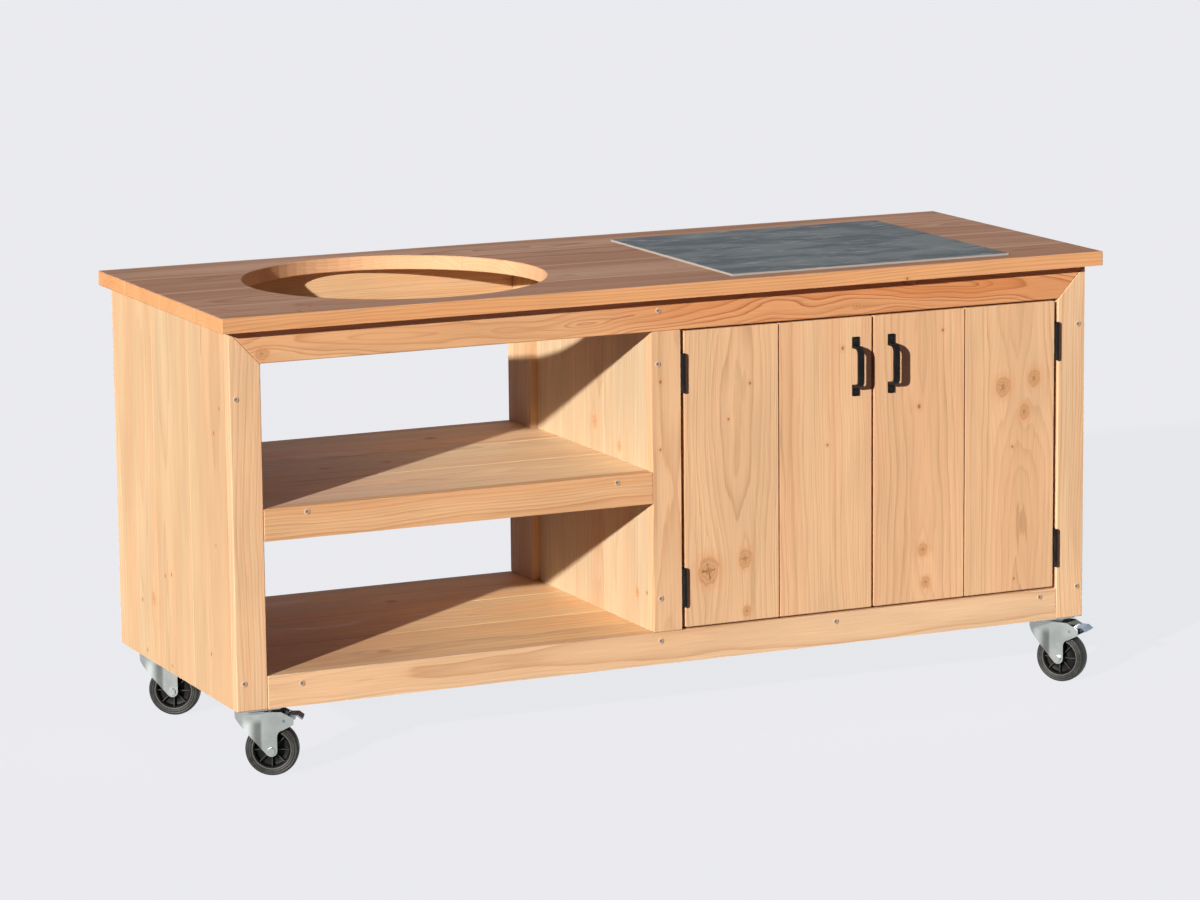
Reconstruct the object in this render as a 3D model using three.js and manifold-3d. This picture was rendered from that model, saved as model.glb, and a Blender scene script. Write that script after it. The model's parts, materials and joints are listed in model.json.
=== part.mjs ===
// Kamado grill table: a softwood outdoor kitchen on four swivel casters.
// The left bay is open, with a round hole in the top for the kamado that stands on the middle shelf.
// The right bay is a cabinet behind two framed-in doors, with a stone plate let into the top above it.
// X runs left to right, Y front to back and Z up. The origin is on the floor, under the middle of the top.

import * as THREE from 'three';
import { mergeVertices } from 'three/addons/utils/BufferGeometryUtils.js';
import Module from 'manifold-3d';

const wasm = await Module();
wasm.setup();

// Driving dimensions of the carcass and the top, in millimetres
const topLength = 1830;
const topThickness = 28;
const frontBoardWidth = 144;
const middleBoardWidth = 195;
const backBoardWidth = 156;
const frontOverhang = 30;
const endOverhang = 22.5;
const carcassDepth = 650;
const carcassHeight = 706;
const boardThickness = 28;
const stileWidth = 60;
const midStileWidth = 58;
const topRailHeight = 64;
const bottomRailHeight = 62;
const leftBayWidth = 785;
const apronHeight = 140;
const jointGap = 0.4;
const arris = 1.4;
const grooveDepth = 1.2;
const cornerSegments = 4;
const panelBoards = 3;

// Driving dimensions of the shelves, battens and bearers
const shelfTopHeight = 373;
const shelfEdgeHeight = 60;
const battenWidth = 82;
const battenThickness = 14;
const bearerWidth = 110;

// Driving dimensions of the kamado hole and the stone plate
const holeRadius = 290;
const holeSegments = 76;
const plateLength = 600;
const plateDepth = 550;
const plateThickness = 12;
const plateProud = 4;
const plateClearance = 0.6;
const plateArris = 0.8;
const plateRightMargin = 188;
const plateFrontMargin = 42;

// Driving dimensions of the doors
const doorHingeGap = 9;
const doorMeetingGap = 6.5;
const doorEndGap = 4;
const doorBoardSeam = 3.8;
const ledgeHeight = 90;
const ledgeThickness = 20;
const ledgeEndMargin = 34;
const ledgeInset = 62;
const braceWidth = 70;
const stopHeight = 34;

// Driving dimensions of the butt hinges
const hingeHeight = 73;
const upperHingeDrop = 79;
const lowerHingeRise = 79;
const leafThickness = 2;
const leafSpread = 4.2;
const leafClearance = 0.2;
const leafDepth = 24;
const knuckleRadius = 4;
const knuckleCount = 5;
const hingePinRadius = 2;
const hingePinClearance = 0.3;
const finialHeight = 1.5;
const finialRadius = 3;
const knuckleSegments = 10;

// Driving dimensions of the bow handles
const handleLength = 115;
const handleDrop = 95;
const handleFromEdge = 35.5;
const handleStandoff = 27;
const gripWidth = 12.5;
const gripThickness = 5;
const gripCornerRadius = 15;
const footLength = 22;
const footWidth = 13.5;
const footThickness = 3;

// Driving dimensions of the casters, with heights below the mounting face taken as positive numbers
const casterHeight = 135;
const wheelRadius = 50;
const wheelSegments = 26;
const raceSegments = 16;
const casterTrail = 36;
const casterEndInset = 50;
const casterSideInset = 58;
const casterPlateWidth = 80;
const casterPlateDepth = 105;
const casterPlateThickness = 3;
const casterPlateCorner = 8;
const slotLength = 14;
const slotWidth = 9;
const slotSpacingX = 60;
const slotSpacingY = 80;
const raceRadius = 30;
const raceHeight = 5;
const crownRadius = 33;
const crownThickness = 4;
const swivelGap = 0.4;
const kingpinRadius = 6;
const kingpinHeadRadius = 10;
const kingpinHeadHeight = 4;
const forkSheet = 2.5;
const forkHalfWidth = 24;
const forkNose = 33;
const forkNoseDrop = 13;
const forkEyeRadius = 11;
const forkShoulderDrop = 48;
const forkHoodLength = 42;
const forkHoodDrop = 24;
const axleRadius = 4;
const axleSegments = 10;
const boltHeadSegments = 6;
const axleClearance = 0.3;
const axleHeadRadius = 7;
const axleHeadHeight = 5;

// Driving dimensions of the wheels
const tyreHalfWidth = 16;
const treadHalfWidth = 9;
const tyreShoulder = 4;
const tyreBead = 4;
const rimRadius = 35;
const rimHalfWidth = 14;
const rimWall = 2.5;
const webHalfThickness = 2.5;
const hubRadius = 11;
const hubHalfWidth = 21;
const ribCount = 8;
const ribThickness = 2.4;
const ribHalfWidth = 11;

// Driving dimensions of the brake levers
const leverPivotForward = 24;
const leverPivotDrop = 28;
const leverBarrelRadius = 5;
const leverPinRadius = 2.6;
const leverPinClearance = 0.3;
const leverSheet = 2.5;
const leverWidth = 36;
const leverRise = 10;
const leverFlat = 14;
const leverRun = 12;
const leverLip = 8;
const leverLipDrop = 7;
const shoeClearance = 0.6;
const shoeWidth = 24;
const shoeLeadAngle = 60;
const shoeTailAngle = 67;

// Swivel angle of each caster where the table was parked, in degrees about the vertical
const parkedAngles = { front_left: -26, front_right: -52, back_left: -33, back_right: -70 };

// Places worked out from the driving dimensions
const topDepth = frontBoardWidth + 2 * middleBoardWidth + backBoardWidth;
const carcassLength = topLength - 2 * endOverhang;
const xLeft = -carcassLength / 2;
const xRight = carcassLength / 2;
const yFront = -topDepth / 2 + frontOverhang;
const yBack = yFront + carcassDepth;
const zBase = casterHeight;
const zUnderTop = zBase + carcassHeight;
const zTop = zUnderTop + topThickness;
const yInnerFront = yFront + boardThickness + jointGap;
const yInnerBack = yBack - boardThickness - jointGap;
const xBayLeft = xLeft + stileWidth;
const xBayRight = xBayLeft + leftBayWidth;
const xDoorsLeft = xBayRight + midStileWidth;
const xDoorsRight = xRight - stileWidth;
const zRailTop = zBase + bottomRailHeight;
const zRailUnder = zUnderTop - topRailHeight;
const zShelf = zBase + shelfTopHeight;
const zFloor = zRailTop;
const xHole = (xBayLeft + xBayRight) / 2;
const zCarcassTop = zUnderTop - jointGap;

// Colours of the materials
const finishes = {
  top: { color: 0xa5745a, roughness: 0.6, metalness: 0 },
  frame: { color: 0xe0a877, roughness: 0.62, metalness: 0 },
  panel: { color: 0xf0c492, roughness: 0.65, metalness: 0 },
  door: { color: 0xe8b888, roughness: 0.62, metalness: 0 },
  stone: { color: 0x566267, roughness: 0.55, metalness: 0 },
  black: { color: 0x17181a, roughness: 0.45, metalness: 0.4 },
  zinc: { color: 0xb9c0c2, roughness: 0.35, metalness: 0.9 },
  rubber: { color: 0x24262a, roughness: 0.7, metalness: 0 },
};

const table = new THREE.Group();

function add(name, geometry, finish, parent = table) {
  const mesh = new THREE.Mesh(geometry, new THREE.MeshStandardMaterial(finishes[finish]));
  mesh.name = name;
  parent.add(mesh);
  return mesh;
}

// Booleans

function solidOf(geometry) {
  const bare = geometry.index ? geometry.toNonIndexed() : geometry.clone();
  bare.deleteAttribute('normal');
  bare.deleteAttribute('uv');
  const merged = mergeVertices(bare);
  return new wasm.Manifold(new wasm.Mesh({
    numProp: 3,
    vertProperties: Float32Array.from(merged.attributes.position.array),
    triVerts: Uint32Array.from(merged.index.array),
  }));
}

function geometryOf(solid) {
  const { vertProperties, triVerts } = solid.getMesh();
  const geometry = new THREE.BufferGeometry();
  geometry.setAttribute('position', new THREE.BufferAttribute(vertProperties, 3));
  geometry.setIndex(new THREE.BufferAttribute(triVerts, 1));
  geometry.computeVertexNormals();
  return geometry;
}

function join(...geometries) {
  return geometryOf(geometries.map(solidOf).reduce((sum, next) => sum.add(next)));
}

function cut(geometry, ...cutters) {
  return geometryOf(cutters.map(solidOf).reduce((rest, next) => rest.subtract(next), solidOf(geometry)));
}

function common(geometry, other) {
  return geometryOf(solidOf(geometry).intersect(solidOf(other)));
}

// Basic forms

const turnToX = new THREE.Matrix4().set(0, 0, 1, 0, 1, 0, 0, 0, 0, 1, 0, 0, 0, 0, 0, 1);
const turnToY = new THREE.Matrix4().set(1, 0, 0, 0, 0, 0, -1, 0, 0, 1, 0, 0, 0, 0, 0, 1);

// An outline run along an axis. It is drawn in (y, z) for x, in (x, z) for y and in (x, y) for z.
function run(outline, axis, from, to, edge = 0) {
  const points = outline instanceof THREE.Shape ? outline : new THREE.Shape(outline.map(([a, b]) => new THREE.Vector2(a, b)));
  const geometry = new THREE.ExtrudeGeometry(points, {
    depth: to - from - 2 * edge,
    curveSegments: cornerSegments,
    bevelEnabled: edge > 0,
    bevelThickness: edge,
    bevelSize: edge,
    bevelOffset: -edge,
    bevelSegments: 1,
  });
  geometry.translate(0, 0, edge);
  if (axis === 'x') return geometry.applyMatrix4(turnToX).translate(from, 0, 0);
  if (axis === 'y') return geometry.applyMatrix4(turnToY).translate(0, to, 0);
  return geometry.translate(0, 0, from);
}

function rectangle(a0, a1, b0, b1) {
  return [[a0, b0], [a1, b0], [a1, b1], [a0, b1]];
}

// A planed board whose edges are eased by an arris, running along one axis
function board(x, y, z, axis, edge = arris) {
  const spans = { x: [y, z, x], y: [x, z, y], z: [x, y, z] }[axis];
  return run(rectangle(...spans[0], ...spans[1]), axis, ...spans[2], edge);
}

// Boards glued side by side, with a small V along each joint on both faces
function gluedOutline(side0, side1, face0, face1) {
  const width = (side1 - side0) / panelBoards;
  const joints = Array.from({ length: panelBoards - 1 }, (_, index) => side0 + (index + 1) * width);
  const lower = joints.flatMap((at) => [
    [at - grooveDepth, face0], [at, face0 + grooveDepth], [at + grooveDepth, face0],
  ]);
  const upper = joints.flatMap((at) => [
    [at - grooveDepth, face1], [at, face1 - grooveDepth], [at + grooveDepth, face1],
  ]);
  return [[side0, face0], ...lower, [side1, face0], [side1, face1], ...upper.reverse(), [side0, face1]];
}

// The same outline with its two directions exchanged, kept in the same turning sense
function exchanged(outline) {
  return outline.map(([a, b]) => [b, a]).reverse();
}

// A form turned about the vertical, from its half profile of (radius, height) points
function turned(profile, segments) {
  const points = profile.map(([radius, height]) => new THREE.Vector2(radius, height));
  return new THREE.LatheGeometry(points, segments).rotateX(Math.PI / 2);
}

function disc(radius, from, to, segments) {
  return turned([[0, from], [radius, from], [radius, to], [0, to]], segments);
}

// A rod along Y
function rod(radius, from, to, x, z, segments) {
  const length = to - from;
  return new THREE.CylinderGeometry(radius, radius, length, segments).translate(x, from + length / 2, z);
}

// Table top

function buildTop() {
  const xEnd = topLength / 2;
  const over = topThickness;
  const holeCutter = turned([
    [0, zUnderTop - over], [holeRadius + over, zUnderTop - over], [holeRadius + arris, zUnderTop - arris],
    [holeRadius + arris, zUnderTop], [holeRadius, zUnderTop + arris], [holeRadius, zTop - arris],
    [holeRadius + arris, zTop], [holeRadius + arris, zTop + over], [0, zTop + over],
  ], holeSegments).translate(xHole, 0, 0);

  const xPlateRight = xEnd - plateRightMargin;
  const xPlateLeft = xPlateRight - plateLength;
  const yPlateFront = plateFrontMargin - topDepth / 2;
  const yPlateBack = yPlateFront + plateDepth;
  const zPlateTop = zTop + plateProud;
  const zPlateUnder = zPlateTop - plateThickness;
  const recessCutter = run(
    rectangle(xPlateLeft - plateClearance, xPlateRight + plateClearance,
      yPlateFront - plateClearance, yPlateBack + plateClearance),
    'z', zPlateUnder - jointGap, zTop + over,
  );

  const joints = [frontBoardWidth, middleBoardWidth, middleBoardWidth].reduce(
    (edges, width) => [...edges, edges[edges.length - 1] + width], [-topDepth / 2],
  );
  const edges = [...joints, topDepth / 2];
  const rows = edges.slice(0, -1).map((edge, index) => [
    edge + (index > 0 ? jointGap / 2 : 0),
    edges[index + 1] - (index < edges.length - 2 ? jointGap / 2 : 0),
  ]);
  const pieces = [
    ['top_board_front', rows[0], [-xEnd, xEnd]],
    ['top_board_second_left', rows[1], [-xEnd, xHole]],
    ['top_board_second_right', rows[1], [xHole, xEnd]],
    ['top_board_third_left', rows[2], [-xEnd, xHole]],
    ['top_board_third_right', rows[2], [xHole, xEnd]],
    ['top_board_back', rows[3], [-xEnd, xEnd]],
  ];
  for (const [name, y, x] of pieces) {
    const blank = board(x, y, [zUnderTop, zTop], 'x');
    add(name, cut(blank, holeCutter, recessCutter), 'top');
  }

  // The plate is let into the boards and stands a little proud of them
  const plate = rectangle(xPlateLeft, xPlateRight, yPlateFront, yPlateBack);
  add('stone_plate', run(plate, 'z', zPlateUnder, zPlateTop, plateArris), 'stone');
}

// Front frame, with mitred corners under the top

function buildFrontFrame() {
  const yFaceBack = yFront + boardThickness;
  for (const [name, sign] of [['left', -1], ['right', 1]]) {
    const outer = sign * xRight;
    const inner = sign * (xRight - stileWidth);
    const outline = [
      [outer, zBase], [inner, zBase],
      [inner, zRailUnder - jointGap], [outer, zCarcassTop - jointGap],
    ];
    add(`front_stile_${name}`, run(sign > 0 ? outline.reverse() : outline, 'y', yFront, yFaceBack, arris), 'frame');
  }
  add('front_top_rail', run([
    [xLeft, zCarcassTop], [xBayLeft, zRailUnder], [xDoorsRight, zRailUnder], [xRight, zCarcassTop],
  ], 'y', yFront, yFaceBack, arris), 'frame');
  add('front_bottom_rail', board(
    [xBayLeft + jointGap, xDoorsRight - jointGap], [yFront, yFaceBack], [zBase, zRailTop], 'x',
  ), 'frame');
  add('front_mid_stile', board(
    [xBayRight, xDoorsLeft], [yFront, yFaceBack], [zRailTop + jointGap, zRailUnder - jointGap], 'z',
  ), 'frame');
}

// Back frame: plain stiles, a deep apron behind the kamado and boards that close the cabinet

function buildBackFrame() {
  const y = [yBack - boardThickness, yBack];
  const xMid = [xBayRight - battenThickness, xBayRight - battenThickness + stileWidth];
  add('back_stile_left', board([xLeft, xBayLeft], y, [zBase, zCarcassTop], 'z'), 'frame');
  add('back_stile_right', board([xDoorsRight, xRight], y, [zBase, zCarcassTop], 'z'), 'frame');
  add('back_mid_stile', board(xMid, y, [zRailTop + jointGap, zCarcassTop], 'z'), 'frame');
  add('back_bottom_rail', board(
    [xBayLeft + jointGap, xDoorsRight - jointGap], y, [zBase, zRailTop], 'x',
  ), 'frame');
  add('back_apron', board(
    [xBayLeft + jointGap, xMid[0] - jointGap], y, [zCarcassTop - apronHeight, zCarcassTop], 'x',
  ), 'frame');
  add('cabinet_back_panel', run(
    exchanged(gluedOutline(zRailTop + jointGap, zCarcassTop, ...y)),
    'x', xMid[1] + jointGap, xDoorsRight - jointGap,
  ), 'panel');
  add('divider_batten', board(
    [xMid[0], xBayRight - jointGap], [yInnerBack - battenWidth, yInnerBack], [zFloor + jointGap, zCarcassTop], 'z',
  ), 'panel');
}

// End panels, divider, shelves and the bearers under the floor

function buildCarcass() {
  const upright = (x0, x1) => exchanged(gluedOutline(yInnerFront, yInnerBack, x0, x1));
  const floorUnder = zFloor - boardThickness;
  add('end_panel_left', run(upright(xLeft, xLeft + boardThickness), 'z', zBase, zCarcassTop), 'panel');
  add('end_panel_right', run(upright(xRight - boardThickness, xRight), 'z', zBase, zCarcassTop), 'panel');
  add('divider_panel', run(
    upright(xBayRight, xBayRight + boardThickness), 'z', zFloor + jointGap, zCarcassTop,
  ), 'panel');

  const xInnerLeft = xLeft + boardThickness + jointGap;
  const xInnerRight = xRight - boardThickness - jointGap;
  add('floor_boards', run(
    gluedOutline(yInnerFront, yInnerBack, floorUnder, zFloor), 'x', xInnerLeft, xInnerRight,
  ), 'panel');

  const shelf = run(
    gluedOutline(yInnerFront, yInnerBack, zShelf - boardThickness, zShelf), 'x', xInnerLeft, xBayRight - jointGap,
  );
  const notch = board(
    [xBayRight - battenThickness - jointGap, xBayRight + jointGap],
    [yInnerBack - battenWidth - jointGap, yInnerBack + jointGap],
    [zShelf - 2 * boardThickness, zShelf + boardThickness], 'z', 0,
  );
  add('shelf_boards', cut(shelf, notch), 'panel');
  const xStrip = [xBayLeft + jointGap, xBayRight - jointGap];
  const zStrip = [zShelf - shelfEdgeHeight, zShelf];
  add('shelf_front_strip', board(xStrip, [yFront, yFront + boardThickness], zStrip, 'x'), 'frame');
  add('shelf_back_strip', board(
    [xStrip[0], xStrip[1] - battenThickness], [yBack - boardThickness, yBack], zStrip, 'x',
  ), 'frame');

  const yBearer = [yInnerFront, yInnerBack];
  const zBearer = [zBase, floorUnder - jointGap];
  add('bearer_left', board([xInnerLeft, xInnerLeft + bearerWidth], yBearer, zBearer, 'y'), 'panel');
  add('bearer_right', board([xInnerRight - bearerWidth, xInnerRight], yBearer, zBearer, 'y'), 'panel');
  add('door_stop', board(
    [xDoorsLeft, xDoorsRight],
    [yInnerFront, yInnerFront + ledgeThickness],
    [zRailUnder - stopHeight / 2, zRailUnder + stopHeight / 2], 'x',
  ), 'panel');
}

// Doors: two upright boards each, held by two ledges and a brace, hung on butt hinges

function buildDoor(name, side) {
  // side is -1 for the door hinged on the left and 1 for the one hinged on the right
  const xHingeFace = side < 0 ? xDoorsLeft : xDoorsRight;
  const xMeeting = (xDoorsLeft + xDoorsRight) / 2 + (side * doorMeetingGap) / 2;
  const xHung = xHingeFace - side * doorHingeGap;
  const width = Math.abs(xMeeting - xHung);
  const y = [yFront, yFront + boardThickness];
  const z = [zRailTop + doorEndGap, zRailUnder - doorEndGap];
  const span = (from, to) => [Math.min(from, to), Math.max(from, to)];
  const half = (width - doorBoardSeam) / 2;
  const boards = [
    ['hung', span(xHung, xHung - side * half)],
    ['meeting', span(xMeeting + side * half, xMeeting)],
  ];
  for (const [part, x] of boards) add(`door_${name}_board_${part}`, board(x, y, z, 'z'), 'door');

  // The ledges and the brace form a Z that is screwed to the back of the boards
  const yBrace = [y[1] + jointGap, y[1] + jointGap + ledgeThickness];
  const xLedge = span(xHung - side * ledgeEndMargin, xMeeting + side * ledgeEndMargin);
  const lowLedge = [z[0] + ledgeInset, z[0] + ledgeInset + ledgeHeight];
  const highLedge = [z[1] - ledgeInset - ledgeHeight, z[1] - ledgeInset];
  const foot = side < 0 ? xLedge[0] : xLedge[1];
  const head = side < 0 ? xLedge[1] : xLedge[0];
  const brace = [
    [foot, lowLedge[1] - arris], [foot - side * braceWidth, lowLedge[1] - arris],
    [head, highLedge[0] + arris], [head + side * braceWidth, highLedge[0] + arris],
  ];
  add(`door_${name}_brace`, join(
    board(xLedge, yBrace, lowLedge, 'x'),
    board(xLedge, yBrace, highLedge, 'x'),
    run(side < 0 ? brace : brace.reverse(), 'y', ...yBrace),
  ), 'panel');

  buildHandle(`door_${name}_handle`, xMeeting + side * handleFromEdge, y[0], z[1] - handleDrop);
  for (const [place, height] of [['upper', z[1] - upperHingeDrop], ['lower', z[0] + lowerHingeRise]]) {
    buildHinge(`hinge_${name}_${place}`, xHingeFace - (side * doorHingeGap) / 2, height, side);
  }
}

// A butt hinge: leaves in the gap beside the door, and knuckles that stand proud of its face
function buildHinge(name, xPin, zMiddle, side) {
  const yPin = yFront - knuckleRadius - jointGap;
  const z0 = zMiddle - hingeHeight / 2;
  const pitch = hingeHeight / knuckleCount;
  const knuckle = (index, radius, margin) => disc(
    radius, z0 + index * pitch + margin, z0 + (index + 1) * pitch - margin, knuckleSegments,
  ).translate(xPin, yPin, 0);
  const leaf = (toward) => board(
    [xPin + toward * (leafSpread / 2), xPin + toward * (leafSpread / 2 + leafThickness)].sort((a, b) => a - b),
    [yPin, yPin + leafDepth], [z0, z0 + hingeHeight], 'z', 0,
  );
  const bore = disc(
    hingePinRadius + hingePinClearance, z0 - finialHeight, z0 + hingeHeight + finialHeight, knuckleSegments,
  ).translate(xPin, yPin, 0);
  const room = knuckleRadius + leafClearance;
  const slotFor = (index) => board(
    [xPin - room, xPin + room], [yPin - room, yPin + room],
    [z0 + index * pitch - swivelGap / 2, z0 + (index + 1) * pitch + swivelGap / 2], 'z', 0,
  );
  const all = Array.from({ length: knuckleCount }, (_, index) => index);
  const fixed = all.filter((index) => index % 2 === 0);
  const moving = all.filter((index) => index % 2 === 1);
  const finial = turned([
    [0, z0 - finialHeight], [finialRadius, z0 - finialHeight], [hingePinRadius, z0 + arris],
    [hingePinRadius, z0 + hingeHeight - arris], [finialRadius, z0 + hingeHeight + finialHeight],
    [0, z0 + hingeHeight + finialHeight],
  ], knuckleSegments).translate(xPin, yPin, 0);
  const frameLeaf = cut(leaf(side), ...moving.map(slotFor));
  add(`${name}_frame_leaf`, join(frameLeaf, finial, ...fixed.map((index) => knuckle(index, knuckleRadius, 0))), 'black');
  const doorLeaf = cut(leaf(-side), ...fixed.map(slotFor));
  const doorKnuckles = moving.map((index) => knuckle(index, knuckleRadius, swivelGap / 2));
  add(`${name}_door_leaf`, cut(join(doorLeaf, ...doorKnuckles), bore), 'black');
}

// A bow handle: a flat bar bent out from two screwed feet
function buildHandle(name, xMiddle, yFace, zMiddle) {
  const z0 = zMiddle - handleLength / 2;
  const z1 = z0 + handleLength;
  const bow = (inset, root) => {
    const low = z0 + footLength - gripThickness + inset;
    const high = z1 - footLength + gripThickness - inset;
    const out = yFace - handleStandoff + inset;
    const radius = gripCornerRadius - inset;
    return new THREE.Shape()
      .moveTo(root, high)
      .lineTo(out + radius, high)
      .absarc(out + radius, high - radius, radius, Math.PI / 2, Math.PI, false)
      .lineTo(out, low + radius)
      .absarc(out + radius, low + radius, radius, Math.PI, 1.5 * Math.PI, false)
      .lineTo(root, low);
  };
  const x = [xMiddle - gripWidth / 2, xMiddle + gripWidth / 2];
  const xFoot = [xMiddle - footWidth / 2, xMiddle + footWidth / 2];
  const yFoot = [yFace - footThickness - jointGap, yFace - jointGap];
  const foot = (z) => board(xFoot, yFoot, z, 'z', jointGap);
  const bar = cut(
    run(bow(0, yFoot[1] - jointGap), 'x', ...x),
    run(bow(gripThickness, yFace + footThickness), 'x', x[0] - gripWidth, x[1] + gripWidth),
  );
  add(name, join(bar, foot([z0, z0 + footLength]), foot([z1 - footLength, z1])), 'black');
}

// Casters

// Radius of the faceted tyre at its corners, so that its flats touch the floor
const tyreCorner = wheelRadius / Math.cos(Math.PI / wheelSegments);
const axleDrop = casterHeight - jointGap - wheelRadius;
const zCrown = -(casterPlateThickness + raceHeight + swivelGap);
const zCrownUnder = zCrown - crownThickness;
const zHood = zCrownUnder + forkSheet / 2;
const leverPivot = { x: casterTrail + leverPivotForward, z: -leverPivotDrop };

// The plate that is screwed under the table, with its raceway and kingpin
function casterPlate() {
  const w = casterPlateWidth / 2;
  const d = casterPlateDepth / 2;
  const c = casterPlateCorner;
  const outline = new THREE.Shape()
    .moveTo(-w + c, -d).lineTo(w - c, -d).absarc(w - c, -d + c, c, -Math.PI / 2, 0, false)
    .lineTo(w, d - c).absarc(w - c, d - c, c, 0, Math.PI / 2, false)
    .lineTo(-w + c, d).absarc(-w + c, d - c, c, Math.PI / 2, Math.PI, false)
    .lineTo(-w, -d + c).absarc(-w + c, -d + c, c, Math.PI, 1.5 * Math.PI, false);
  for (const x of [-slotSpacingX / 2, slotSpacingX / 2]) {
    for (const y of [-slotSpacingY / 2, slotSpacingY / 2]) {
      const r = slotWidth / 2;
      const reach = (slotLength - slotWidth) / 2;
      outline.holes.push(new THREE.Path()
        .moveTo(x - reach, y - r).lineTo(x + reach, y - r)
        .absarc(x + reach, y, r, -Math.PI / 2, Math.PI / 2, false)
        .lineTo(x - reach, y + r)
        .absarc(x - reach, y, r, Math.PI / 2, 1.5 * Math.PI, false));
    }
  }
  const zRaceUnder = -(casterPlateThickness + raceHeight);
  const zHead = zHood - forkSheet - swivelGap;
  const race = turned([
    [0, zHead - kingpinHeadHeight], [kingpinHeadRadius, zHead - kingpinHeadHeight],
    [kingpinHeadRadius, zHead], [kingpinRadius, zHead], [kingpinRadius, zRaceUnder],
    [raceRadius, zRaceUnder], [raceRadius, -casterPlateThickness / 2], [0, -casterPlateThickness / 2],
  ], raceSegments);
  return join(run(outline, 'z', -casterPlateThickness, 0), race);
}

// The point where a straight edge from a corner touches the round eye of the fork
function tangentToEye(corner, centre, radius) {
  const toward = Math.atan2(centre[1] - corner[1], centre[0] - corner[0]);
  const distance = Math.hypot(centre[0] - corner[0], centre[1] - corner[1]);
  const edge = toward - Math.asin(radius / distance);
  return edge - Math.PI / 2;
}

// A pressed fork: a sheet shell, round at its nose, cut to two arms that end in the axle eyes
function fork() {
  const eye = [casterTrail, -axleDrop];
  const nose = [-forkNose, zHood - forkNoseDrop];
  const eyeStart = tangentToEye(nose, eye, forkEyeRadius);
  const hoodEnd = casterTrail + forkHoodLength;
  const armBack = casterTrail + forkEyeRadius;
  const side = new THREE.Shape()
    .moveTo(-forkNose, zHood)
    .lineTo(...nose)
    .absarc(...eye, forkEyeRadius, eyeStart, 0, false)
    .lineTo(armBack, -forkShoulderDrop - forkEyeRadius)
    .quadraticCurveTo(armBack, -forkShoulderDrop, armBack + forkEyeRadius, -forkShoulderDrop + forkSheet)
    .lineTo(hoodEnd, zHood - forkHoodDrop)
    .lineTo(hoodEnd, zHood - forkHoodDrop / 2)
    .lineTo(leverPivot.x - leverBarrelRadius, zHood);
  const plan = (inset) => new THREE.Shape()
    .moveTo(hoodEnd + forkNose, -forkHalfWidth + inset)
    .lineTo(hoodEnd + forkNose, forkHalfWidth - inset)
    .lineTo(0, forkHalfWidth - inset)
    .absellipse(0, 0, forkNose - inset, forkHalfWidth - inset, Math.PI / 2, 1.5 * Math.PI, false, 0);
  const zLow = -casterHeight;
  const body = common(run(side, 'y', -forkHalfWidth, forkHalfWidth), run(plan(0), 'z', zLow, 0));
  const inside = run(plan(forkSheet), 'z', zLow, zHood - forkSheet);
  const hoodOpening = board(
    [casterTrail, hoodEnd + forkNose], [-forkHalfWidth + forkSheet, forkHalfWidth - forkSheet],
    [zLow, 0], 'z', 0,
  );
  const crown = turned([
    [0, zCrownUnder - forkSheet / 2], [raceRadius, zCrownUnder - forkSheet / 2], [crownRadius, zCrownUnder],
    [crownRadius, zCrown - arris], [crownRadius - arris, zCrown], [0, zCrown],
  ], raceSegments);
  const kingpinBore = disc(kingpinRadius + swivelGap, zLow, 0, raceSegments);
  const leverBore = rod(
    leverPinRadius + leverPinClearance, -crownRadius, crownRadius, leverPivot.x, leverPivot.z, axleSegments,
  );
  const axle = rod(axleRadius, -forkHalfWidth, forkHalfWidth, ...eye, axleSegments);
  const bolt = (sign) => {
    const from = sign * (forkHalfWidth - forkSheet / 2);
    const to = sign * (forkHalfWidth + axleHeadHeight);
    return rod(axleHeadRadius, Math.min(from, to), Math.max(from, to), ...eye, boltHeadSegments);
  };
  return join(cut(join(cut(body, inside, hoodOpening), crown), kingpinBore, leverBore), axle, bolt(-1), bolt(1));
}

// A rubber tyre on a ribbed plastic rim, turned about its axle along Y
function wheel() {
  const boreRadius = axleRadius + axleClearance;
  const half = [
    [boreRadius, hubHalfWidth], [hubRadius, hubHalfWidth], [hubRadius, webHalfThickness],
    [rimRadius - rimWall, webHalfThickness], [rimRadius - rimWall, rimHalfWidth], [rimRadius, rimHalfWidth],
    [rimRadius + tyreBead, tyreHalfWidth], [tyreCorner - tyreShoulder, tyreHalfWidth],
    [tyreCorner, treadHalfWidth],
  ];
  const other = half.map(([radius, across]) => [radius, -across]).reverse();
  const profile = [...half, ...other, half[0]].reverse();
  const points = profile.map(([radius, across]) => new THREE.Vector2(radius, across));
  // Half a step of turn brings a flat of the tread down to the floor
  const body = new THREE.LatheGeometry(points, wheelSegments, Math.PI / wheelSegments);
  const ribs = Array.from({ length: ribCount }, (_, index) => {
    const inner = hubRadius - ribThickness / 2;
    const outer = rimRadius - rimWall / 2;
    return new THREE.BoxGeometry(outer - inner, 2 * ribHalfWidth, ribThickness)
      .translate((outer + inner) / 2, 0, 0)
      .rotateY((index * 2 * Math.PI) / ribCount);
  });
  return join(body, ...ribs).translate(casterTrail, 0, -axleDrop);
}

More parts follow.
